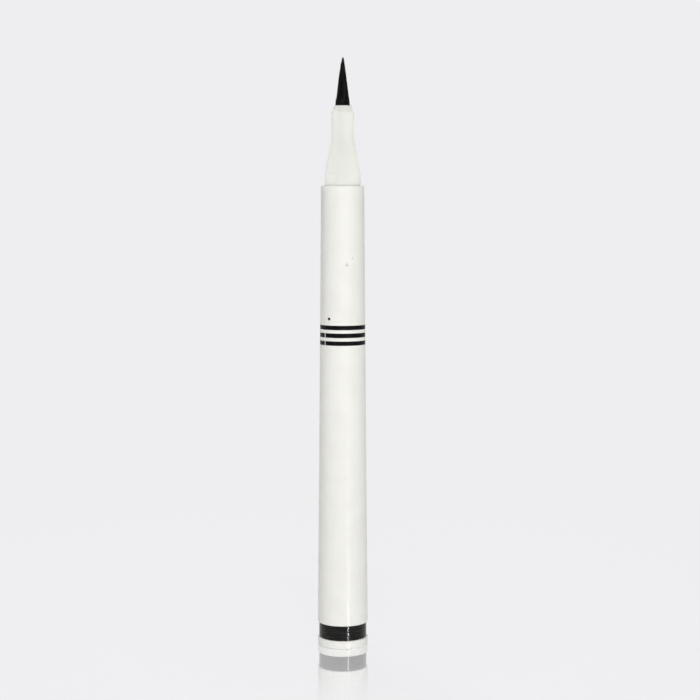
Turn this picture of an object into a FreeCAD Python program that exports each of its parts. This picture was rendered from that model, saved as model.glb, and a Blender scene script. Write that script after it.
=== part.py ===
import FreeCAD, Part
import math
import os

from FreeCAD import Vector

# A liquid eyeliner pen, cap off, standing on its tail. Millimetres.
# The pen's axis is Z, its foot is at height 0 and the brush points up.

# Outside, from the foot up
tail_head_height = 1.65         # white end of the tail plug
tail_ring_height = 3.1          # black ring above it
barrel_length = 91.25
seat_length = 2.2               # cylinder that the cap slides over
land_length = 1.7               # slow taper above the seat
cone_length = 5.3
nose_length = 7.1               # slim front of the nib holder
brush_length = 10.0             # bare part of the brush

barrel_rear_diameter = 10.5
barrel_mouth_diameter = 8.94
barrel_waist = 0.03             # how far the barrel's side bows in, halfway up
ring_recess = 0.35              # how far the ring sits inside the tail's outline
seat_diameter = 7.4
land_diameter = 6.9             # where the cone begins
brush_diameter = 2.95
brush_neck_diameter = 0.92      # where the point begins
brush_neck_height = 8.2         # above the nib holder
brush_point_diameter = 0.22

# Edges
foot_bevel = 0.35
rim_bevel = 0.2
mouth_bevel = 0.25
cone_neck_round = 3.0
nose_bevel_height = 1.15
nose_bevel_depth = 0.32

# Fits
press_clearance = 0.02          # pressed pieces, on the radius
end_gap = 0.3                   # free ends inside a bore
ball_rest_gap = 0.05            # between the resting ball and the plug's floor

# Walls
tail_wall = 1.2                 # barrel around the tail plug
mouth_wall = 1.0                # barrel around the nib holder
plug_wall = 0.9
plug_floor = 1.4
ferrule_wall = 0.32
nose_wall = 0.47
collector_core_wall = 0.55

# Tail plug
plug_engagement = 6.0           # spigot inside the barrel
plug_rib_rise = 0.1
plug_rib_half_width = 0.35
plug_rib_count = 2
plug_lead_in = 0.4

# Nib holder
holder_plug_length = 7.5        # inside the barrel
holder_lead_in = 0.4
holder_bore_diameter = 5.2      # wide bore at the rear
mouth_lip_length = 2.6          # narrow bore at the front

# Brush, ferrule and wick
ferrule_length = 7.0
brush_flange_thickness = 0.8
wick_diameter = 1.5
wick_engagement = 5.0           # inside the brush
wick_reach = 2.0                # bare end in the tank

# Collector
collector_length = 26.0         # step in the barrel to the nib holder
collector_flange_thickness = 1.3
collector_plate_thickness = 1.0
collector_nose_length = 2.0     # below the flange, in the tank
collector_hub_length = 4.0      # inside the nib holder
fin_pitch = 2.4
fin_thickness = 0.7
fin_gap = 0.2                   # fin edge to the barrel's bore
air_slot_width = 0.7
feed_slit_width = 0.3

# Mixing ball
ball_diameter = 2.5

# Heights that several pieces share
ring_bottom = tail_head_height
barrel_bottom = ring_bottom + tail_ring_height
shoulder = barrel_bottom + barrel_length
seat_top = shoulder + seat_length
land_top = seat_top + land_length
cone_top = land_top + cone_length
nose_top = cone_top + nose_length
brush_point = nose_top + brush_length
holder_bottom = shoulder - holder_plug_length
tank_top = holder_bottom - collector_length
ferrule_top = nose_top - mouth_lip_length
ferrule_bottom = ferrule_top - ferrule_length
brush_bottom = ferrule_bottom - brush_flange_thickness
flange_bottom = tank_top - collector_flange_thickness
wick_bottom = flange_bottom - collector_nose_length - wick_reach
plug_top = barrel_bottom + plug_engagement

# Radii that several pieces share
tail_radius = barrel_rear_diameter / 2
tail_bore = tail_radius - tail_wall
mouth_radius = barrel_mouth_diameter / 2
mouth_bore = mouth_radius - mouth_wall
plug_radius = tail_bore - press_clearance
brush_radius = brush_diameter / 2
ferrule_bore = brush_radius + press_clearance
ferrule_radius = ferrule_bore + ferrule_wall
ferrule_seat = ferrule_radius + press_clearance
nose_radius = ferrule_seat + nose_wall
wick_radius = wick_diameter / 2
wick_bore = wick_radius + press_clearance
collector_core = wick_bore + collector_core_wall
fin_radius = mouth_bore - fin_gap


def outline(corners, bowed, bow):
    # A closed outline through (radius, height) corners; a third value rounds that corner.
    # The side that leaves the corner numbered bowed curves towards the axis by bow.
    starts = []
    ends = []
    middles = []
    for index, corner in enumerate(corners):
        point = Vector(corner[0], 0, corner[1])
        if len(corner) == 2:
            starts.append(point)
            ends.append(point)
            middles.append(None)
            continue
        before = corners[index - 1]
        after = corners[(index + 1) % len(corners)]
        back = (Vector(before[0], 0, before[1]) - point).normalize()
        ahead = (Vector(after[0], 0, after[1]) - point).normalize()
        half_angle = back.getAngle(ahead) / 2
        reach = corner[2] / math.tan(half_angle)
        inward = (back + ahead).normalize()
        starts.append(point + back * reach)
        ends.append(point + ahead * reach)
        middles.append(point + inward * (corner[2] / math.sin(half_angle) - corner[2]))
    edges = []
    for index in range(len(corners)):
        if middles[index]:
            edges.append(Part.Arc(starts[index], middles[index], ends[index]).toShape())
        following = starts[(index + 1) % len(corners)]
        if index == bowed:
            halfway = (ends[index] + following) / 2 - Vector(bow, 0, 0)
            edges.append(Part.Arc(ends[index], halfway, following).toShape())
        else:
            edges.append(Part.makeLine(ends[index], following))
    return Part.Wire(edges)


def turned(corners, bowed=None, bow=0):
    face = Part.Face(outline(corners, bowed, bow))
    return face.revolve(Vector(0, 0, 0), Vector(0, 0, 1), 360)


def make_barrel():
    return turned(
        [
            (tail_bore, barrel_bottom),
            (tail_radius - rim_bevel, barrel_bottom),
            (tail_radius, barrel_bottom + rim_bevel),
            (mouth_radius, shoulder - mouth_bevel),
            (mouth_radius - mouth_bevel, shoulder),
            (mouth_bore, shoulder),
            (mouth_bore, tank_top),
            (tail_bore, tank_top),
        ],
        bowed=2,
        bow=barrel_waist,
    )


def make_tail_ring():
    outer = tail_radius - ring_recess
    return turned(
        [
            (tail_bore, ring_bottom),
            (outer, ring_bottom),
            (outer, barrel_bottom),
            (tail_bore, barrel_bottom),
        ]
    )


def make_tail_plug():
    stem = plug_radius - plug_rib_rise
    cup = stem - plug_wall
    rib_step = plug_engagement / (plug_rib_count + 1)
    ribs = []
    for index in range(plug_rib_count):
        height = barrel_bottom + rib_step * (index + 1)
        ribs += [
            (stem, height - plug_rib_half_width),
            (plug_radius, height),
            (stem, height + plug_rib_half_width),
        ]
    return turned(
        [
            (0, plug_floor),
            (0, 0),
            (tail_radius - foot_bevel, 0),
            (tail_radius, foot_bevel),
            (tail_radius, ring_bottom - rim_bevel),
            (tail_radius - rim_bevel, ring_bottom),
            (plug_radius, ring_bottom),
            (plug_radius, barrel_bottom),
            (stem, barrel_bottom),
            *ribs,
            (stem, plug_top - plug_lead_in),
            (stem - plug_lead_in, plug_top),
            (cup, plug_top),
            (cup, plug_floor),
        ]
    )


def make_nib_holder():
    plug = mouth_bore - press_clearance
    seat = seat_diameter / 2
    bore = holder_bore_diameter / 2
    return turned(
        [
            (bore, holder_bottom),
            (plug - holder_lead_in, holder_bottom),
            (plug, holder_bottom + holder_lead_in),
            (plug, shoulder),
            (seat, shoulder),
            (seat, seat_top),
            (land_diameter / 2, land_top),
            (nose_radius, cone_top, cone_neck_round),
            (nose_radius, nose_top - nose_bevel_height),
            (nose_radius - nose_bevel_depth, nose_top),
            (ferrule_bore, nose_top),
            (ferrule_bore, ferrule_top),
            (ferrule_seat, ferrule_top),
            (ferrule_seat, land_top),
            (bore, land_top),
        ]
    )


def make_brush_tip():
    socket_top = brush_bottom + wick_engagement + end_gap
    return turned(
        [
            (wick_bore, brush_bottom),
            (ferrule_radius, brush_bottom),
            (ferrule_radius, ferrule_bottom),
            (brush_radius, ferrule_bottom),
            (brush_radius, nose_top),
            (brush_neck_diameter / 2, nose_top + brush_neck_height),
            (brush_point_diameter / 2, brush_point),
            (0, brush_point),
            (0, socket_top),
            (wick_bore, socket_top),
        ]
    )


def make_brush_ferrule():
    return turned(
        [
            (ferrule_bore, ferrule_bottom),
            (ferrule_radius, ferrule_bottom),
            (ferrule_radius, ferrule_top),
            (ferrule_bore, ferrule_top),
        ]
    )


def make_relay_wick():
    length = brush_bottom + wick_engagement - wick_bottom
    return Part.makeCylinder(wick_radius, length, Vector(0, 0, wick_bottom))


def comb_corners(bottom, top):
    # The fins between the flange and the front plate, spread evenly.
    count = int((top - bottom) / fin_pitch)
    pitch = (top - bottom) / (count + 1)
    corners = []
    for index in range(count):
        middle = bottom + pitch * (index + 1)
        corners += [
            (collector_core, middle - fin_thickness / 2),
            (fin_radius, middle - fin_thickness / 2),
            (fin_radius, middle + fin_thickness / 2),
            (collector_core, middle + fin_thickness / 2),
        ]
    return corners


def make_collector():
    flange = tail_bore - press_clearance
    plate = mouth_bore - press_clearance
    hub = holder_bore_diameter / 2 - press_clearance
    nose_bottom = flange_bottom - collector_nose_length
    comb_top = holder_bottom - collector_plate_thickness
    hub_top = holder_bottom + collector_hub_length
    body = turned(
        [
            (wick_bore, nose_bottom),
            (collector_core, nose_bottom),
            (collector_core, flange_bottom),
            (flange, flange_bottom),
            (flange, tank_top),
            (collector_core, tank_top),
            *comb_corners(tank_top, comb_top),
            (collector_core, comb_top),
            (plate, comb_top),
            (plate, holder_bottom),
            (hub, holder_bottom),
            (hub, hub_top),
            (collector_core, hub_top),
            (collector_core, brush_bottom),
            (wick_bore, brush_bottom),
        ]
    )
    # Air comes down a slot on one side; liquid leaves the wick through a slit on the other.
    air_slot = Part.makeBox(
        plate,
        air_slot_width,
        hub_top - tank_top,
        Vector(collector_core, -air_slot_width / 2, tank_top),
    )
    feed_slit = Part.makeBox(
        fin_radius,
        feed_slit_width,
        comb_top - tank_top,
        Vector(-fin_radius, -feed_slit_width / 2, tank_top),
    )
    return body.cut(air_slot).cut(feed_slit)


def make_mixing_ball():
    radius = ball_diameter / 2
    return Part.makeSphere(radius, Vector(0, 0, plug_floor + ball_rest_gap + radius))


pieces = {
    "barrel": make_barrel,
    "nib_holder": make_nib_holder,
    "brush_tip": make_brush_tip,
    "brush_ferrule": make_brush_ferrule,
    "relay_wick": make_relay_wick,
    "collector": make_collector,
    "tail_ring": make_tail_ring,
    "tail_plug": make_tail_plug,
    "mixing_ball": make_mixing_ball,
}

os.makedirs("parts", exist_ok=True)
for name, make in pieces.items():
    shape = make()
    shape.exportStep("parts/" + name + ".step")
    print(name, shape.ShapeType, shape.isValid(), len(shape.Solids), round(shape.Volume, 2))
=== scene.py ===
import math

import bmesh
import bpy
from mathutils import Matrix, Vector, noise


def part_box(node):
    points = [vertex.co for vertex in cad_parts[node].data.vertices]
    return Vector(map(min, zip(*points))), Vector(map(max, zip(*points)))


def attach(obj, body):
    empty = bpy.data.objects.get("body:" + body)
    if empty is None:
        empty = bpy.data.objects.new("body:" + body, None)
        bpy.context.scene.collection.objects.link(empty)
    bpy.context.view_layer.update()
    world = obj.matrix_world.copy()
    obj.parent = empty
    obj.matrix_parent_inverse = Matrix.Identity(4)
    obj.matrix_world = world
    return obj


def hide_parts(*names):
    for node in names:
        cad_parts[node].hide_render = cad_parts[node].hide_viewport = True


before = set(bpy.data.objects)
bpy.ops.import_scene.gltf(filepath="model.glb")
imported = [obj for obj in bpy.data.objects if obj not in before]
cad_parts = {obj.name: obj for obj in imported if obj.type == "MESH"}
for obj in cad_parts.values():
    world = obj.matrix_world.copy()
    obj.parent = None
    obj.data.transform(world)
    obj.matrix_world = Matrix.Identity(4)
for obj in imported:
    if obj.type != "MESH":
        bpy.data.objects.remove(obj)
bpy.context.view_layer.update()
mm = 0.001
print("frame loaded:", sorted(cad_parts))


# One socket of a node tree. Sums, products and the like on it add Math nodes.
class Val:
    def __init__(self, bench, socket):
        self.bench = bench
        self.socket = socket

    def maths(self, operation, first, second=0.0):
        return self.bench.add("ShaderNodeMath", {"operation": operation}, {0: first, 1: second})

    def __add__(self, other):
        return self.maths("ADD", self, other)

    def __radd__(self, other):
        return self.maths("ADD", other, self)

    def __sub__(self, other):
        return self.maths("SUBTRACT", self, other)

    def __rsub__(self, other):
        return self.maths("SUBTRACT", other, self)

    def __mul__(self, other):
        return self.maths("MULTIPLY", self, other)

    def __truediv__(self, other):
        return self.maths("DIVIDE", self, other)

    def __rtruediv__(self, other):
        return self.maths("DIVIDE", other, self)

    def __pow__(self, other):
        return self.maths("POWER", self, other)

    def most(self, other):
        return self.maths("MAXIMUM", self, other)

    def least(self, other):
        return self.maths("MINIMUM", self, other)

    def fade(self, low, high, start=0.0, end=1.0):
        return self.bench.add(
            "ShaderNodeMapRange",
            {"interpolation_type": "SMOOTHSTEP"},
            {"Value": self, "From Min": low, "From Max": high, "To Min": start, "To Max": end},
        )


# A node tree with one way to add a node: its settings first, then its sockets.
class Bench:
    def __init__(self, tree):
        self.tree = tree

    def add(self, kind, settings=None, sockets=None, out=0):
        node = self.tree.nodes.new(kind)
        for key, value in (settings or {}).items():
            setattr(node, key, value)
        for key, value in (sockets or {}).items():
            if isinstance(value, Val):
                self.tree.links.new(value.socket, node.inputs[key])
            else:
                node.inputs[key].default_value = value
        return Val(self, node.outputs[out]) if node.outputs else node

    def blend(self, share, first, second):
        return self.add(
            "ShaderNodeMix", {"data_type": "RGBA"}, {0: share, 6: first, 7: second}, out=2
        )

    def grain(self, where, scale, detail=2.0, roughness=0.5):
        return self.add(
            "ShaderNodeTexNoise",
            None,
            {"Vector": where, "Scale": scale, "Detail": detail, "Roughness": roughness},
        )


# A material bench: object coordinates, a stretch of them, and the closing shader.
class Finish(Bench):
    def __init__(self, name):
        self.material = bpy.data.materials.new(name)
        self.material.use_nodes = True
        super().__init__(self.material.node_tree)
        self.tree.nodes.clear()
        self.place = self.add("ShaderNodeTexCoord", None, None, out="Object")

    def stretched(self, x, y, z):
        return self.add("ShaderNodeMapping", None, {"Vector": self.place, "Scale": (x, y, z)})

    def axis(self, letter):
        return self.add("ShaderNodeSeparateXYZ", None, {0: self.place}, out=letter)

    def spot(self, point, inner, outer):
        away = self.add(
            "ShaderNodeVectorMath",
            {"operation": "DISTANCE"},
            {0: self.place, 1: point},
            out="Value",
        )
        return away.fade(inner, outer, 1.0, 0.0)

    def bump(self, height, distance, strength=1.0):
        return self.add(
            "ShaderNodeBump", None, {"Height": height, "Distance": distance, "Strength": strength}
        )

    def close(self, sockets):
        shader = self.add("ShaderNodeBsdfPrincipled", None, sockets)
        self.add("ShaderNodeOutputMaterial", None, {"Surface": shader})
        return self.material


def colour(r, g, b):
    return (r, g, b, 1.0)


# Turned pieces, in millimetres and degrees
turnings = {
    "segments": 192,
    "span": 1.6,  # longest face along a profile
    "arcSteps": 6,
    "pad": 0.08,  # short faces at both ends of a side keep the shading crisp
    "padFrom": 0.4,  # shortest side that gets them
    "sharp": 40,
    "onAxis": 1e-6,  # a smaller radius closes to one point
    "weld": 1e-8,  # metres
}


# A profile is a list of (radius, height, edge round) corners.
def roundProfile(corners, span):
    steps = turnings["arcSteps"]
    sides = []
    for i, (r, z, edge) in enumerate(corners):
        here = Vector((r, z))
        if edge <= 0:
            sides.append([here])
            continue
        before = Vector(corners[i - 1][:2]) - here
        after = Vector(corners[(i + 1) % len(corners)][:2]) - here
        before.normalize()
        after.normalize()
        half = before.angle(after) / 2
        reach = edge / math.tan(half)
        hub = here + (before + after).normalized() * (edge / math.sin(half))
        first = here + before * reach - hub
        last = here + after * reach - hub
        turn = first.angle_signed(last)
        arc = []
        for k in range(steps + 1):
            a = -turn * k / steps
            swung = Vector(
                (
                    first.x * math.cos(a) - first.y * math.sin(a),
                    first.x * math.sin(a) + first.y * math.cos(a),
                )
            )
            arc.append(hub + swung)
        sides.append(arc)
    points = []
    for i, arc in enumerate(sides):
        points += arc
        start = arc[-1]
        end = sides[(i + 1) % len(sides)][0]
        length = (end - start).length
        pads = []
        if length > turnings["padFrom"]:
            pads = [turnings["pad"] / length, 1 - turnings["pad"] / length]
        count = max(1, math.ceil(length / span))
        cuts = sorted(set([k / count for k in range(1, count)] + pads))
        points += [start.lerp(end, t) for t in cuts]
    return points


def lathe(name, points, segments, sway=None):
    mesh = bpy.data.meshes.new(name)
    bm = bmesh.new()
    rings = []
    for p in points:
        if p.x < turnings["onAxis"]:
            rings.append([bm.verts.new((0, 0, p.y * mm))] * segments)
            continue
        ring = []
        for k in range(segments):
            a = 2 * math.pi * k / segments
            r = p.x + (sway(p.x, a, p.y) if sway else 0)
            ring.append(bm.verts.new((r * math.sin(a) * mm, -r * math.cos(a) * mm, p.y * mm)))
        rings.append(ring)
    for i in range(len(rings)):
        low = rings[i]
        high = rings[(i + 1) % len(rings)]
        for k in range(segments):
            n = (k + 1) % segments
            corners = list(dict.fromkeys([low[k], low[n], high[n], high[k]]))
            if len(corners) > 2:
                bm.faces.new(corners)
    bmesh.ops.remove_doubles(bm, verts=bm.verts, dist=turnings["weld"])
    bmesh.ops.recalc_face_normals(bm, faces=bm.faces)
    bm.to_mesh(mesh)
    bm.free()
    mesh.shade_smooth()
    mesh.set_sharp_from_angle(angle=math.radians(turnings["sharp"]))
    obj = bpy.data.objects.new(name, mesh)
    bpy.context.scene.collection.objects.link(obj)
    return obj


def settle(obj, node, slot, *materials):
    for material in materials:
        obj.data.materials.append(material)
    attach(obj, "pen")
    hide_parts(node)


# White gloss plastic
whiteLook = {
    "colour": colour(0.868, 0.864, 0.815),
    "shade": colour(0.845, 0.84, 0.79),
    "cloudScale": 220,
    "smearScale": 900,
    "gloss": 0.2,
    "dull": 0.3,
    "specular": 0.18,
    "peelScale": 1500,
    "peelDepth": 0.002,
    "speck": (-2.77, -3.75, 68.74),  # a dot of stray ink above the stripes
    "speckSize": (0.285, 0.335),
    "speckInk": colour(0.004, 0.004, 0.004),
    "scuffs": [(0.93, -4.44, 79.85, 0.5), (2.0, -4.1, 81.2, 0.24), (3.2, -3.2, 81.1, 0.18)],
    "scuffInk": colour(0.3, 0.3, 0.31),
    "scuffCore": 0.2,  # share of a scuff's radius with the full rub
    "scuffScale": 4200,
    "scuffCover": 0.9,
    "scuffDull": 0.2,
}


def whitePlastic(name, marks):
    f = Finish(name)
    cloud = f.grain(f.place, whiteLook["cloudScale"], 3)
    smear = f.grain(f.stretched(1, 1, 0.18), whiteLook["smearScale"], 4, 0.6)
    peel = f.grain(f.place, whiteLook["peelScale"], 2)
    base = f.blend(cloud.fade(0.35, 0.7), whiteLook["colour"], whiteLook["shade"])
    rough = smear.fade(0.42, 0.68, whiteLook["gloss"], whiteLook["dull"])
    if marks:
        speck = Vector(whiteLook["speck"]) * mm
        inner, outer = whiteLook["speckSize"]
        base = f.blend(f.spot(speck, inner * mm, outer * mm), base, whiteLook["speckInk"])
        rub = 0.0
        for x, y, z, wide in whiteLook["scuffs"]:
            core = whiteLook["scuffCore"] * wide
            rub = f.spot(Vector((x, y, z)) * mm, core * mm, wide * mm) + rub
        rub = rub * f.grain(f.place, whiteLook["scuffScale"], 1).fade(0.35, 0.6)
        base = f.blend(rub * whiteLook["scuffCover"], base, whiteLook["scuffInk"])
        rough = rough + rub * whiteLook["scuffDull"]
    return f.close(
        {
            "Base Color": base,
            "Roughness": rough,
            "Normal": f.bump(peel, whiteLook["peelDepth"] * mm, 0.4),
            "Specular IOR Level": whiteLook["specular"],
        }
    )


# Printed stripes
inkLook = {
    "colour": colour(0.0032, 0.0032, 0.0034),
    "thin": colour(0.014, 0.014, 0.0145),
    "thinScale": 2400,
    "paleLeft": (-3.9, -3.2),  # across the pen: the ink is paler on the left, past the print's seam
    "gloss": 0.26,
    "dulling": 0.14,
    "specular": 0.06,
    "peelScale": 5000,
    "peelDepth": 0.003,
}


def stripeInk():
    f = Finish("stripeInk")
    thin = f.grain(f.stretched(1, 1, 0.5), inkLook["thinScale"], 3, 0.6).fade(0.5, 0.75)
    # The ink is paler on the pen's left side, past the print's seam.
    paleLeft = (f.axis("X") / mm).fade(*inkLook["paleLeft"], 1.0, 0.0)
    cover = (thin * 0.5 + paleLeft * 0.7).least(1.0)
    peel = f.grain(f.place, inkLook["peelScale"], 2)
    return f.close(
        {
            "Base Color": f.blend(cover, inkLook["colour"], inkLook["thin"]),
            "Roughness": inkLook["gloss"] + thin * inkLook["dulling"],
            "Normal": f.bump(peel, inkLook["peelDepth"] * mm, 0.5),
            "Specular IOR Level": inkLook["specular"],
        }
    )


# Black ring, with fine turning streaks
ringLook = {
    "colour": colour(0.0035, 0.0035, 0.0036),
    "bloom": colour(0.02, 0.02, 0.0205),
    "streakScale": 4600,
    "cloudScale": 500,
    "gloss": 0.12,
    "dull": 0.22,
    "specular": 0.18,
    "streakDepth": 0.003,
}


def blackPlastic():
    f = Finish("blackPlastic")
    streak = f.grain(f.stretched(0.1, 0.1, 1), ringLook["streakScale"], 3, 0.6)
    cloud = f.grain(f.place, ringLook["cloudScale"], 3)
    bloom = streak.fade(0.42, 0.7) * cloud.fade(0.3, 0.65, 0.35, 1.0)
    return f.close(
        {
            "Base Color": f.blend(bloom, ringLook["colour"], ringLook["bloom"]),
            "Roughness": streak.fade(0.4, 0.75, ringLook["gloss"], ringLook["dull"]),
            "Normal": f.bump(streak, ringLook["streakDepth"] * mm, 0.6),
            "Specular IOR Level": ringLook["specular"],
        }
    )


# Milky natural plastic
milkLook = {
    "colour": colour(0.818, 0.825, 0.78),
    "thin": colour(0.793, 0.803, 0.757),
    "slim": colour(0.798, 0.808, 0.763),  # painted shade: the nose's colour, set for how light falls there
    "slimFrom": (100.5, 106.0),  # heights between which the colour changes
    "cloudScale": 420,
    "gloss": 0.36,
    "dull": 0.5,
    "specular": 0.3,
    "peelScale": 6000,
    "peelDepth": 0.003,
    "scatter": 0.6,
    "stain": colour(0.2, 0.2, 0.2),
    "stainScale": 1500,
    "stainCover": 0.6,
    "stainFrom": (112.18, 112.32),  # heights around the holder's rim
}


def milkPlastic(name, stained, depth):
    f = Finish(name)
    cloud = f.grain(f.stretched(1, 1, 0.35), milkLook["cloudScale"], 3)
    peel = f.grain(f.place, milkLook["peelScale"], 2)
    base = f.blend(cloud.fade(0.35, 0.7), milkLook["colour"], milkLook["thin"])
    height = f.axis("Z") / mm
    # Painted shade: from the nose up, the colour is set for how light falls there, not for a real
    # change in the plastic.
    base = f.blend(height.fade(*milkLook["slimFrom"]), base, milkLook["slim"])
    if stained:  # ink that has crept out around the brush
        high = height.fade(*milkLook["stainFrom"])
        creep = high * f.grain(f.place, milkLook["stainScale"], 2).fade(0.4, 0.65)
        base = f.blend(creep * milkLook["stainCover"], base, milkLook["stain"])
    return f.close(
        {
            "Base Color": base,
            "Roughness": cloud.fade(0.3, 0.7, milkLook["gloss"], milkLook["dull"]),
            "Normal": f.bump(peel, milkLook["peelDepth"] * mm, 0.5),
            "Specular IOR Level": milkLook["specular"],
            "Subsurface Weight": depth,
            "Subsurface Radius": (1.0, 1.0, 1.0),
            "Subsurface Scale": milkLook["scatter"] * mm,
        }
    )


# Brush filaments, wet with ink
filamentLook = {
    "dark": colour(0.001, 0.001, 0.001),
    "pale": colour(0.018, 0.018, 0.018),
    "strandScale": 4200,
    "strandDepth": 0.01,
    "gloss": 0.32,
    "dull": 0.55,
    "specular": 0.05,
}


def wetFilament():
    f = Finish("wetFilament")
    strand = f.grain(f.stretched(1, 1, 0.04), filamentLook["strandScale"], 2, 0.6)
    return f.close(
        {
            "Base Color": f.blend(
                strand.fade(0.4, 0.65), filamentLook["dark"], filamentLook["pale"]
            ),
            "Roughness": strand.fade(0.35, 0.7, filamentLook["gloss"], filamentLook["dull"]),
            "Normal": f.bump(strand, filamentLook["strandDepth"] * mm, 0.5),
            "Specular IOR Level": filamentLook["specular"],
        }
    )


# Soaked fibre of the wick
wickLook = {
    "dark": colour(0.02, 0.02, 0.021),
    "pale": colour(0.075, 0.075, 0.078),
    "fibreScale": 12000,
    "fibreDepth": 0.02,
    "smooth": 0.6,
    "dry": 0.85,
}


def wickFibre():
    f = Finish("wickFibre")
    fibre = f.grain(f.stretched(1, 1, 0.03), wickLook["fibreScale"], 3, 0.7)
    return f.close(
        {
            "Base Color": f.blend(fibre.fade(0.35, 0.7), wickLook["dark"], wickLook["pale"]),
            "Roughness": fibre.fade(0.3, 0.7, wickLook["smooth"], wickLook["dry"]),
            "Normal": f.bump(fibre, wickLook["fibreDepth"] * mm, 0.6),
        }
    )


# Polished steel of the ball, under a film of ink
steelLook = {
    "bare": colour(0.66, 0.66, 0.67),
    "filmed": colour(0.5, 0.5, 0.52),
    "filmScale": 900,
    "scratchScale": 8000,
    "scratchDepth": 0.002,
    "gloss": 0.12,
    "dull": 0.3,
}


def ballSteel():
    f = Finish("ballSteel")
    film = f.grain(f.place, steelLook["filmScale"], 3, 0.6)
    scratch = f.grain(f.stretched(1, 0.1, 1), steelLook["scratchScale"], 2)
    return f.close(
        {
            "Base Color": f.blend(film.fade(0.4, 0.7), steelLook["bare"], steelLook["filmed"]),
            "Roughness": film.fade(0.35, 0.75, steelLook["gloss"], steelLook["dull"]),
            "Normal": f.bump(scratch, steelLook["scratchDepth"] * mm, 0.4),
            "Metallic": 1.0,
        }
    )


barrelWhite = whitePlastic("barrelWhite", True)
plugWhite = whitePlastic("plugWhite", False)
ink = stripeInk()
black = blackPlastic()
milk = milkPlastic("holderMilk", True, 1.0)
innerMilk = milkPlastic("innerMilk", False, 0.0)
wet = wetFilament()
print("finishes mixed")

# Barrel with its three printed stripes
barrel = {
    "mouthRadius": 4.47,
    "waist": 0.03,
    "rearRound": 0.24,
    "mouthRound": 0.3,
    "boreRound": 0.1,
    "rearWall": 1.2,
    "mouthWall": 1.0,
    "boreStep": 62.5,
    "stripes": [(63.26, 64.15), (64.86, 65.78), (66.475, 67.385)],
    "seamAngle": -49.6875,  # degrees from the front, where the print meets itself
    "seamOpen": [0, 1],  # stripes whose ends leave a gap
    "ripple": 0.004,
    "rippleRound": 0.9,
    "ripplePitch": 11,
    "plainEnd": 0.5,  # length at each end without ripple
    "bands": 8,  # straight lengths that follow the waist
    "skin": 0.05,  # faces this close to the outside count as outside
}


def makeBarrel():
    low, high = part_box("barrel")
    rear = high.x / mm
    bottom = low.z / mm
    top = high.z / mm
    mouth = barrel["mouthRadius"]
    rearBore = rear - barrel["rearWall"]
    mouthBore = mouth - barrel["mouthWall"]

    def side(z):
        t = (z - bottom) / (top - bottom)
        return rear + (mouth - rear) * t - barrel["waist"] * 4 * t * (1 - t)

    def ripple(r, angle, z):
        end = barrel["plainEnd"]
        if r < side(z) - barrel["skin"] or z < bottom + end or z > top - end:
            return 0
        wide = barrel["rippleRound"]
        spot = (math.sin(angle) * wide, math.cos(angle) * wide, z / barrel["ripplePitch"])
        return barrel["ripple"] * noise.noise(Vector(spot))

    corners = [(rearBore, bottom, 0), (rear, bottom, barrel["rearRound"])]
    bands = barrel["bands"]
    heights = [bottom + (top - bottom) * k / bands for k in range(1, bands)]
    for stripe in barrel["stripes"]:
        heights += stripe
    corners += [(side(z), z, 0) for z in sorted(heights)]
    corners += [
        (mouth, top, barrel["mouthRound"]),
        (mouthBore, top, barrel["boreRound"]),
        (mouthBore, barrel["boreStep"], 0),
        (rearBore, barrel["boreStep"], 0),
    ]
    points = roundProfile(corners, turnings["span"])
    obj = lathe("barrelShell", points, turnings["segments"], ripple)
    settle(obj, "barrel", "barrel_white", barrelWhite, ink)
    step = 360 / turnings["segments"]
    for face in obj.data.polygons:
        c = face.center / mm
        if math.hypot(c.x, c.y) < mouth - barrel["skin"]:
            continue
        for number, (z0, z1) in enumerate(barrel["stripes"]):
            off = abs(math.degrees(math.atan2(c.x, -c.y)) - barrel["seamAngle"])
            gap = number in barrel["seamOpen"] and off < step / 2
            if z0 < c.z < z1 and not gap:
                face.material_index = 1


makeBarrel()
print("barrel turned and printed")

# Milky nib holder
holder = {
    "seatLength": 2.2,
    "landLength": 1.7,
    "landRadius": 3.45,
    "coneLength": 5.3,
    "noseFoot": 2.36,
    "noseTop": 2.34,
    "ledge": 0.27,  # step where the bevelled rim begins
    "groove": 0.1,  # how deep the step dips at the rim's foot
    "rimRadius": 1.85,
    "rimHeight": 1.15,
    "lip": 2.6,
    "mouthBore": 1.495,
    "leadIn": (0.08, 0.4),  # flare of the bore at the brush
    "ferruleBore": 1.835,
    "rearBore": 2.6,
    "plugRadius": 3.45,
    "seat": 3.7,
    "plugRound": 0.3,
    "footRound": 0.05,
    "seatRound": 1.6,
    "landRound": 1.0,
    "neckRound": 3.0,
    "ledgeRound": 0.05,
    "grooveRound": 0.03,
    "rimRound": 0.14,
    "lipRound": 0.06,
    "span": 0.8,
}


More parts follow.
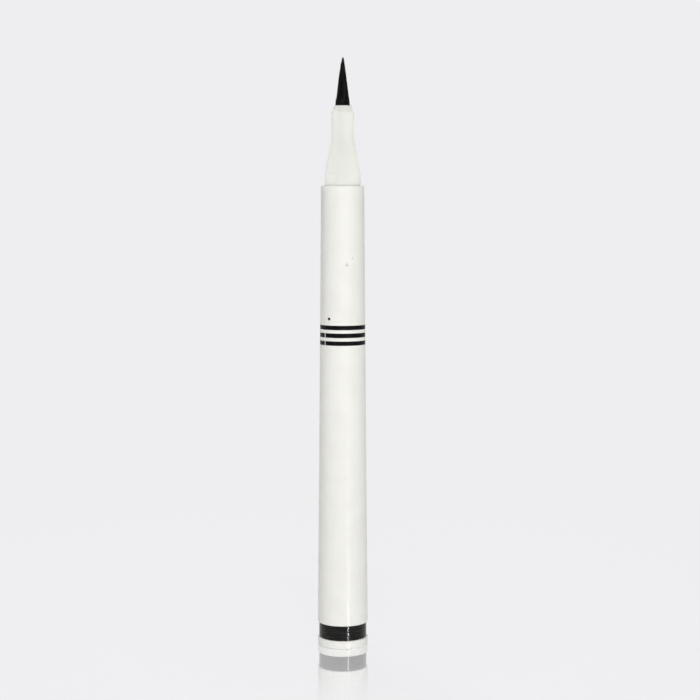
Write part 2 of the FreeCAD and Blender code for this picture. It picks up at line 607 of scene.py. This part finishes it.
def makeHolder():
    low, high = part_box("nib_holder")
    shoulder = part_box("barrel")[1].z / mm
    bottom = low.z / mm
    top = high.z / mm
    seatTop = shoulder + holder["seatLength"]
    landTop = seatTop + holder["landLength"]
    coneTop = landTop + holder["coneLength"]
    rimFoot = top - holder["rimHeight"]
    grooveFoot = rimFoot - holder["groove"]
    flare, flareDepth = holder["leadIn"]
    corners = [
        (holder["rearBore"], bottom, 0),
        (holder["plugRadius"], bottom, holder["plugRound"]),
        (holder["plugRadius"], shoulder, 0),
        (holder["seat"], shoulder, holder["footRound"]),
        (holder["seat"], seatTop, holder["seatRound"]),
        (holder["landRadius"], landTop, holder["landRound"]),
        (holder["noseFoot"], coneTop, holder["neckRound"]),
        (holder["noseTop"], rimFoot, holder["ledgeRound"]),
        (holder["noseTop"] - holder["ledge"], grooveFoot, holder["grooveRound"]),
        (holder["rimRadius"], top, holder["rimRound"]),
        (holder["mouthBore"] + flare, top, holder["lipRound"]),
        (holder["mouthBore"], top - flareDepth, 0),
        (holder["mouthBore"], top - holder["lip"], 0),
        (holder["ferruleBore"], top - holder["lip"], 0),
        (holder["ferruleBore"], landTop, 0),
        (holder["rearBore"], landTop, 0),
    ]
    points = roundProfile(corners, holder["span"])
    obj = lathe("nibHolder", points, turnings["segments"])
    settle(obj, "nib_holder", "holder_natural", milk)


makeHolder()
print("nib holder turned")

# Black ring and white plug at the tail
tail = {
    "ringRound": 0.07,
    "ringProud": 0.07,  # how far the ring stands out past its solid
    "footRound": 0.1,
    "rimRound": 0.24,
    "spigot": 4.03,
    "stem": 3.93,
    "cup": 3.03,
    "floor": 1.4,
    "ribs": [6.75, 8.75],
    "ribHalf": 0.35,
    "ribRound": 0.1,
    "stemRound": 0.35,
    "cupRim": 0.1,
    "cupRound": 0.4,
    "clearance": 0.02,
    "ringSpan": 0.6,
    "plugSpan": 1.2,
}


def makeRing():
    low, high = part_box("tail_ring")
    outer = high.x / mm + tail["ringProud"]
    inner = tail["spigot"] + tail["clearance"]
    corners = [
        (inner, low.z / mm, 0),
        (outer, low.z / mm, tail["ringRound"]),
        (outer, high.z / mm, tail["ringRound"]),
        (inner, high.z / mm, 0),
    ]
    obj = lathe("tailRing", roundProfile(corners, tail["ringSpan"]), turnings["segments"])
    settle(obj, "tail_ring", "ring_black", black)


def makePlug():
    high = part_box("tail_plug")[1]
    outer = high.x / mm
    top = high.z / mm
    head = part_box("tail_ring")[0].z / mm
    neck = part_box("tail_ring")[1].z / mm
    corners = [
        (0, 0, 0),
        (outer, 0, tail["footRound"]),
        (outer, head, tail["rimRound"]),
        (tail["spigot"], head, 0),
        (tail["spigot"], neck, 0),
        (tail["stem"], neck, 0),
    ]
    for z in tail["ribs"]:
        corners += [
            (tail["stem"], z - tail["ribHalf"], 0),
            (tail["spigot"], z, tail["ribRound"]),
            (tail["stem"], z + tail["ribHalf"], 0),
        ]
    corners += [
        (tail["stem"], top, tail["stemRound"]),
        (tail["cup"], top, tail["cupRim"]),
        (tail["cup"], tail["floor"], tail["cupRound"]),
        (0, tail["floor"], 0),
    ]
    obj = lathe("tailPlug", roundProfile(corners, tail["plugSpan"]), turnings["segments"])
    settle(obj, "tail_plug", "plug_white", plugWhite)


makeRing()
makePlug()
print("tail ring and plug turned")

# Brush: a dark core and a bundle of leaning, pointed filaments
brush = {
    "count": 560,
    "filament": 0.06,
    "sides": 6,
    "rows": 6,
    "point": (0.55, 0.22),  # where a filament starts to narrow, and the width left at its end
    "pinch": (0.86, 0.9),  # where the bundle's point begins, and how fast it closes
    "taper": 0.785,  # how much of its width the bundle loses by the point
    "dome": 0.045,  # how much sooner the outermost tip filaments end
    "lean": 0.06,  # sideways, at the point
    "crowd": 0.44,  # under a half, the roots crowd towards the outside
    "sunk": 0.25,  # start of the filaments below the holder's rim
    "splay": 0.16,
    "strays": 9,  # the higher, the fewer filaments stand off
    "shortest": 0.2,
    "stoutness": (0.85, 1.1),
    "turn": 2.39996,  # radians from one root to the next
    "seed": 11,
    "heart": 1.6,  # how fast the innermost filaments shorten outwards
    "spread": 1.53,
    "radius": 1.475,
    "flange": 1.815,
    "flangeHeight": 0.8,
    "wickBore": 0.77,
    "wickDepth": 5.3,
    "core": 0.86,
    "corePoint": 0.33,
    "coreEnds": (1.7, 0.5),  # below the bundle's point
    "coreStart": 0.2,  # below the holder's rim
    "coreRound": 0.4,
    "stemEnd": 0.5,  # below the holder's rim
    "stemRound": 0.1,
    "stemSegments": 48,
    "stemSpan": 0.8,
    "tipGap": 0.01,
}


def brushTree():
    tree = bpy.data.node_groups.new("brushBundle", "GeometryNodeTree")
    tree.interface.new_socket("Geometry", in_out="OUTPUT", socket_type="NodeSocketGeometry")
    sizes = {}
    for name, kind in [
        ("Count", "Int"),
        ("Bundle Radius", "Float"),
        ("Filament Radius", "Float"),
        ("Length", "Float"),
        ("Root Height", "Float"),
        ("Taper", "Float"),
        ("Pinch Start", "Float"),
        ("Pinch", "Float"),
        ("Dome", "Float"),
        ("Heart", "Float"),
        ("Lean", "Float"),
        ("Crowd", "Float"),
        ("Splay", "Float"),
        ("Seed", "Int"),
    ]:
        sizes[name] = tree.interface.new_socket(
            name, in_out="INPUT", socket_type="NodeSocket" + kind
        )
    b = Bench(tree)
    entry = tree.nodes.new("NodeGroupInput")
    size = {name: Val(b, entry.outputs[name]) for name in sizes}

    def chance(low, high, shift):
        return b.add(
            "FunctionNodeRandomValue",
            {"data_type": "FLOAT"},
            {2: low, 3: high, "Seed": size["Seed"] + shift},
            out=1,
        )

    def point(x, y, z):
        return b.add("ShaderNodeCombineXYZ", None, {0: x, 1: y, 2: z})

    # One filament, a unit long, with a pointed end
    line = b.add("GeometryNodeCurvePrimitiveLine", None, {"Start": (0, 0, 0), "End": (0, 0, 1)})
    line = b.add("GeometryNodeResampleCurve", None, {"Curve": line, "Count": brush["rows"] + 1})
    along = b.add("GeometryNodeSplineParameter")
    girth = along.fade(brush["point"][0], 1.0, 1.0, brush["point"][1])
    hoop = b.add(
        "GeometryNodeCurvePrimitiveCircle",
        None,
        {"Resolution": brush["sides"], "Radius": size["Filament Radius"]},
    )
    filament = b.add(
        "GeometryNodeCurveToMesh",
        None,
        {"Curve": line, "Profile Curve": hoop, "Scale": girth, "Fill Caps": True},
    )

    # Roots packed like sunflower seeds; each filament leans to its own end height
    index = b.add("GeometryNodeInputIndex")
    share = ((index + 0.5) / size["Count"]) ** size["Crowd"]
    swing = index * brush["turn"]
    reach = share * (size["Bundle Radius"] - size["Filament Radius"])
    rootX = reach * swing.maths("COSINE", swing)
    rootY = reach * swing.maths("SINE", swing)
    rise = (1 - chance(0.0, 1.0, 1) ** 0.5) / size["Taper"]
    outward = share - (0.5 / size["Count"]) ** size["Crowd"]
    rise = rise.most(brush["shortest"]).most(1 - outward * size["Heart"])
    rise = rise.least(1 - outward * size["Dome"])
    closing = (rise - size["Pinch Start"]).most(0.0) * size["Pinch"]
    narrow = 1 - rise * size["Taper"] - closing
    stray = chance(0.0, 1.0, 2) ** brush["strays"] * size["Splay"] * (1 - rise)
    drawn = narrow + stray
    end = point(
        rootX * drawn + rise * size["Lean"],
        rootY * drawn,
        size["Root Height"] + rise * size["Length"],
    )
    root = point(rootX, rootY, size["Root Height"])
    way = b.add("ShaderNodeVectorMath", {"operation": "SUBTRACT"}, {0: end, 1: root})
    length = b.add("ShaderNodeVectorMath", {"operation": "LENGTH"}, {0: way}, out="Value")
    turn = b.add("FunctionNodeAlignRotationToVector", {"axis": "Z"}, {"Vector": way})
    stout = chance(*brush["stoutness"], 3)
    seeds = b.add("GeometryNodePoints", None, {"Count": size["Count"], "Position": root})
    bundle = b.add(
        "GeometryNodeInstanceOnPoints",
        None,
        {
            "Points": seeds,
            "Instance": filament,
            "Rotation": turn,
            "Scale": point(stout, stout, length),
        },
    )
    bundle = b.add("GeometryNodeRealizeInstances", None, {0: bundle})
    bundle = b.add("GeometryNodeSetMaterial", None, {"Geometry": bundle, "Material": wet})
    exitNode = tree.nodes.new("NodeGroupOutput")
    tree.links.new(bundle.socket, exitNode.inputs[0])
    return tree, sizes


def makeBrush():
    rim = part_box("nib_holder")[1].z
    low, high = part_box("brush_tip")
    tree, sizes = brushTree()
    carrier = bpy.data.objects.new("brushCarrier", bpy.data.meshes.new("brushCarrier"))
    bpy.context.scene.collection.objects.link(carrier)
    grown = carrier.modifiers.new("bundle", "NODES")
    grown.node_group = tree
    root = rim - brush["sunk"] * mm
    for name, value in {
        "Count": brush["count"],
        "Bundle Radius": brush["spread"] * mm,
        "Filament Radius": brush["filament"] * mm,
        "Length": high.z - root - brush["tipGap"] * mm,
        "Root Height": root,
        "Taper": brush["taper"],
        "Pinch Start": brush["pinch"][0],
        "Pinch": brush["pinch"][1],
        "Dome": brush["dome"],
        "Heart": brush["heart"],
        "Lean": brush["lean"] * mm,
        "Crowd": brush["crowd"],
        "Splay": brush["splay"],
        "Seed": brush["seed"],
    }.items():
        grown[sizes[name].identifier] = value
    ready = carrier.evaluated_get(bpy.context.evaluated_depsgraph_get())
    mesh = bpy.data.meshes.new_from_object(ready)
    bpy.data.objects.remove(carrier)
    mesh.name = "brushBundle"
    mesh.shade_smooth()
    bundle = bpy.data.objects.new("brushBundle", mesh)
    bpy.context.scene.collection.objects.link(bundle)
    settle(bundle, "brush_tip", "brush_black")

    # The stem and its flange fill the ferrule; the core closes the bundle
    bottom = low.z / mm
    neck = bottom + brush["flangeHeight"]
    core = brush["radius"] * brush["core"]
    neckTop, peak = [high.z / mm - drop for drop in brush["coreEnds"]]
    socket = bottom + brush["wickDepth"]
    corners = [
        (brush["wickBore"], bottom, 0),
        (brush["flange"], bottom, brush["stemRound"]),
        (brush["flange"], neck, brush["stemRound"]),
        (brush["radius"], neck, 0),
        (brush["radius"], rim / mm - brush["stemEnd"], brush["stemRound"]),
        (core, rim / mm - brush["coreStart"], 0),
        (core * brush["corePoint"], neckTop, brush["coreRound"]),
        (0, peak, 0),
        (0, socket, 0),
        (brush["wickBore"], socket, 0),
    ]
    points = roundProfile(corners, brush["stemSpan"])
    stem = lathe("brushStem", points, brush["stemSegments"])
    settle(stem, "brush_tip", "brush_black", wet)
    print("brush filaments:", brush["count"], "faces:", len(mesh.polygons))


makeBrush()

# Pieces inside keep their solids and get their finishes
inside = {
    "collector": innerMilk,
    "brush_ferrule": innerMilk,
    "relay_wick": wickFibre(),
    "mixing_ball": ballSteel(),
}
for node, material in inside.items():
    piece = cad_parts[node]
    piece.data.materials.clear()
    piece.data.materials.append(material)
print("inner pieces finished")

# Studio, in metres and watts: pale floor and room, soft lamps, and narrow strips for the
# long highlight. The camera looks down on the tail, so two strips reach below the floor.
studio = {
    "pale": colour(0.855, 0.855, 0.871),
    "room": colour(1.0, 0.995, 0.98),
    "roomLight": 0.38,
    "flags": 0.75,  # how much darker the room's sides are in reflections
    "flagSides": (0.3, 0.75),
    "flagTop": (0.03, 0.1),
    "lamps": {
        "key": {"place": (0.015, -0.45, 0.1), "size": 0.26, "power": 1.2},
        "fill": {"place": (0.78, -0.12, 0.1), "size": 0.3, "power": 0.4},
        "back": {"place": (-0.2, 0.85, 0.5), "size": 0.6, "power": 4.2},
    },
    "stripAngle": 26.4,
    "stripReach": 0.6,
    "stripWidth": 0.012,
    "strips": {  # bottom, top and power
        "longStrip": (-0.135, 0.035, 0.17),
        "shortStrip": (-0.175, -0.135, 0.4),
        "mirrorStrip": (0.166, 0.178, 0.45),  # for the ring's image in the floor
    },
    "cheeks": {  # a narrow beam from each side on to the milky holder
        "place": (0.1154, 0.0331, 0.1042),
        "wide": 0.03,
        "tall": 0.0163,
        "spread": 2,
        "power": (0.0006, 0.00044),  # left and right
    },
    "crown": {  # a thin beam from above on to the barrel's mouth
        "place": (0, -0.0143, 0.1551),
        "target": (0, -0.0039, 0.096),
        "wide": 0.0075,
        "tall": 0.0008,
        "spread": 1,
        "power": 0.000015,
    },
    "aim": (0, 0, 0.06),
    "floorHalf": 6.0,
    "floorCells": 8,
    "floorDrop": 0.00002,
    "mirror": 0.55,
    "mirrorBlur": 0.03,
    "mirrorFade": (0.016, 0.05),
    "shadowShare": 0.3,
    "shadowFade": (0.03, 0.2),
    "floorLight": 0.64,  # how bright the lit floor is, beside its plain colour
}


def seenDirectly(b):
    camera = b.add("ShaderNodeLightPath", None, None, out="Is Camera Ray")
    glossy = b.add("ShaderNodeLightPath", None, None, out="Is Glossy Ray")
    through = b.add("ShaderNodeLightPath", None, None, out="Is Transmission Ray")
    return camera.most(glossy).most(through)


def makeRoom():
    world = bpy.data.worlds.new("paleRoom")
    world.use_nodes = True
    b = Bench(world.node_tree)
    world.node_tree.nodes.clear()
    lit = b.add(
        "ShaderNodeBackground", None, {"Color": studio["room"], "Strength": studio["roomLight"]}
    )
    toward = b.add("ShaderNodeTexCoord", None, None, out="Generated")
    sideways = b.add("ShaderNodeSeparateXYZ", None, {0: toward}, out="X")
    upward = b.add("ShaderNodeSeparateXYZ", None, {0: toward}, out="Z")
    sideways = sideways.maths("ABSOLUTE", sideways).fade(*studio["flagSides"])
    sideways = sideways * upward.fade(*studio["flagTop"], 1.0, 0.0)
    glossy = b.add("ShaderNodeLightPath", None, None, out="Is Glossy Ray")
    strength = 1 - sideways * glossy * studio["flags"]
    shown = b.add("ShaderNodeBackground", None, {"Color": studio["pale"], "Strength": strength})
    both = b.add("ShaderNodeMixShader", None, {0: seenDirectly(b), 1: lit, 2: shown})
    b.add("ShaderNodeOutputWorld", None, {"Surface": both})
    bpy.context.scene.world = world


def makeFloor():
    f = Finish("paleFloor")
    flat = f.add(
        "ShaderNodeVectorMath",
        {"operation": "MULTIPLY"},
        {0: f.place, 1: (1.0, 1.0, 0.0)},
    )
    away = f.add("ShaderNodeVectorMath", {"operation": "LENGTH"}, {0: flat}, out="Value")
    matt = f.add("ShaderNodeBsdfDiffuse", None, {"Color": studio["pale"]})
    near = away.fade(*studio["shadowFade"], studio["shadowShare"], 0.0)
    makeUp = (1 - near * studio["floorLight"]) / (1 - near)
    plain = f.add("ShaderNodeEmission", None, {"Color": studio["pale"], "Strength": makeUp})
    seen = seenDirectly(f)
    ground = f.add("ShaderNodeMixShader", None, {0: seen * (1 - near), 1: matt, 2: plain})
    glass = f.add(
        "ShaderNodeBsdfGlossy",
        None,
        {"Color": colour(1, 1, 1), "Roughness": studio["mirrorBlur"]},
    )
    shine = away.fade(*studio["mirrorFade"], studio["mirror"], 0.0)
    ground = f.add("ShaderNodeMixShader", None, {0: shine, 1: ground, 2: glass})
    f.add("ShaderNodeOutputMaterial", None, {"Surface": ground})
    mesh = bpy.data.meshes.new("floor")
    bm = bmesh.new()
    cells = studio["floorCells"]
    bmesh.ops.create_grid(bm, x_segments=cells, y_segments=cells, size=studio["floorHalf"])
    bmesh.ops.translate(bm, verts=bm.verts, vec=(0, 0, -studio["floorDrop"]))
    bm.to_mesh(mesh)
    bm.free()
    mesh.materials.append(f.material)
    floor = bpy.data.objects.new("floor", mesh)
    bpy.context.scene.collection.objects.link(floor)
    floor.visible_shadow = False  # lets the strips' light through


def makeLamp(name, place, target, width, height, power):
    lamp = bpy.data.lights.new(name, "AREA")
    lamp.shape = "RECTANGLE"
    lamp.size = width
    lamp.size_y = height
    lamp.energy = power
    obj = bpy.data.objects.new(name, lamp)
    bpy.context.scene.collection.objects.link(obj)
    obj.location = place
    obj.rotation_euler = (Vector(target) - Vector(place)).to_track_quat("-Z", "Y").to_euler()
    obj.visible_camera = False
    return obj


def makeLamps():
    for name, lamp in studio["lamps"].items():
        soft = makeLamp(
            name, lamp["place"], studio["aim"], lamp["size"], lamp["size"], lamp["power"]
        )
        soft.visible_glossy = False
    cheeks = studio["cheeks"]
    for side, power in zip((-1, 1), cheeks["power"]):
        x, y, z = cheeks["place"]
        cheek = makeLamp(
            "cheek", (side * x, y, z), (0, 0, z), cheeks["wide"], cheeks["tall"], power
        )
        cheek.data.spread = math.radians(cheeks["spread"])
        cheek.visible_glossy = False
    crown = studio["crown"]
    beam = makeLamp(
        "crown", crown["place"], crown["target"], crown["wide"], crown["tall"], crown["power"]
    )
    beam.data.spread = math.radians(crown["spread"])
    beam.visible_glossy = False
    a = math.radians(studio["stripAngle"])
    x = math.sin(a) * studio["stripReach"]
    y = -math.cos(a) * studio["stripReach"]
    for name, (bottom, top, power) in studio["strips"].items():
        middle = (bottom + top) / 2
        strip = makeLamp(
            name, (x, y, middle), (0, 0, middle), studio["stripWidth"], top - bottom, power
        )
        strip.visible_diffuse = False
        # Reflected rays would stop at the floor, so only shadow rays look for the strip.
        strip.data.cycles.use_multiple_importance_sampling = False


camera = {
    "place": (0.00152, -0.34, 0.0923),
    "down": 5.09,  # degrees
    "lens": 84.5,
    "sensor": 36,
    "nearest": 0.01,
}


def makeCamera():
    eye = bpy.data.cameras.new("camera")
    eye.lens = camera["lens"]
    eye.sensor_width = camera["sensor"]
    eye.clip_start = camera["nearest"]
    obj = bpy.data.objects.new("camera", eye)
    bpy.context.scene.collection.objects.link(obj)
    obj.location = camera["place"]
    obj.rotation_euler = (math.radians(90 - camera["down"]), 0, 0)
    bpy.context.scene.camera = obj


makeRoom()
makeFloor()
makeLamps()
makeCamera()
bpy.context.scene.view_settings.view_transform = "Standard"
print("studio set")
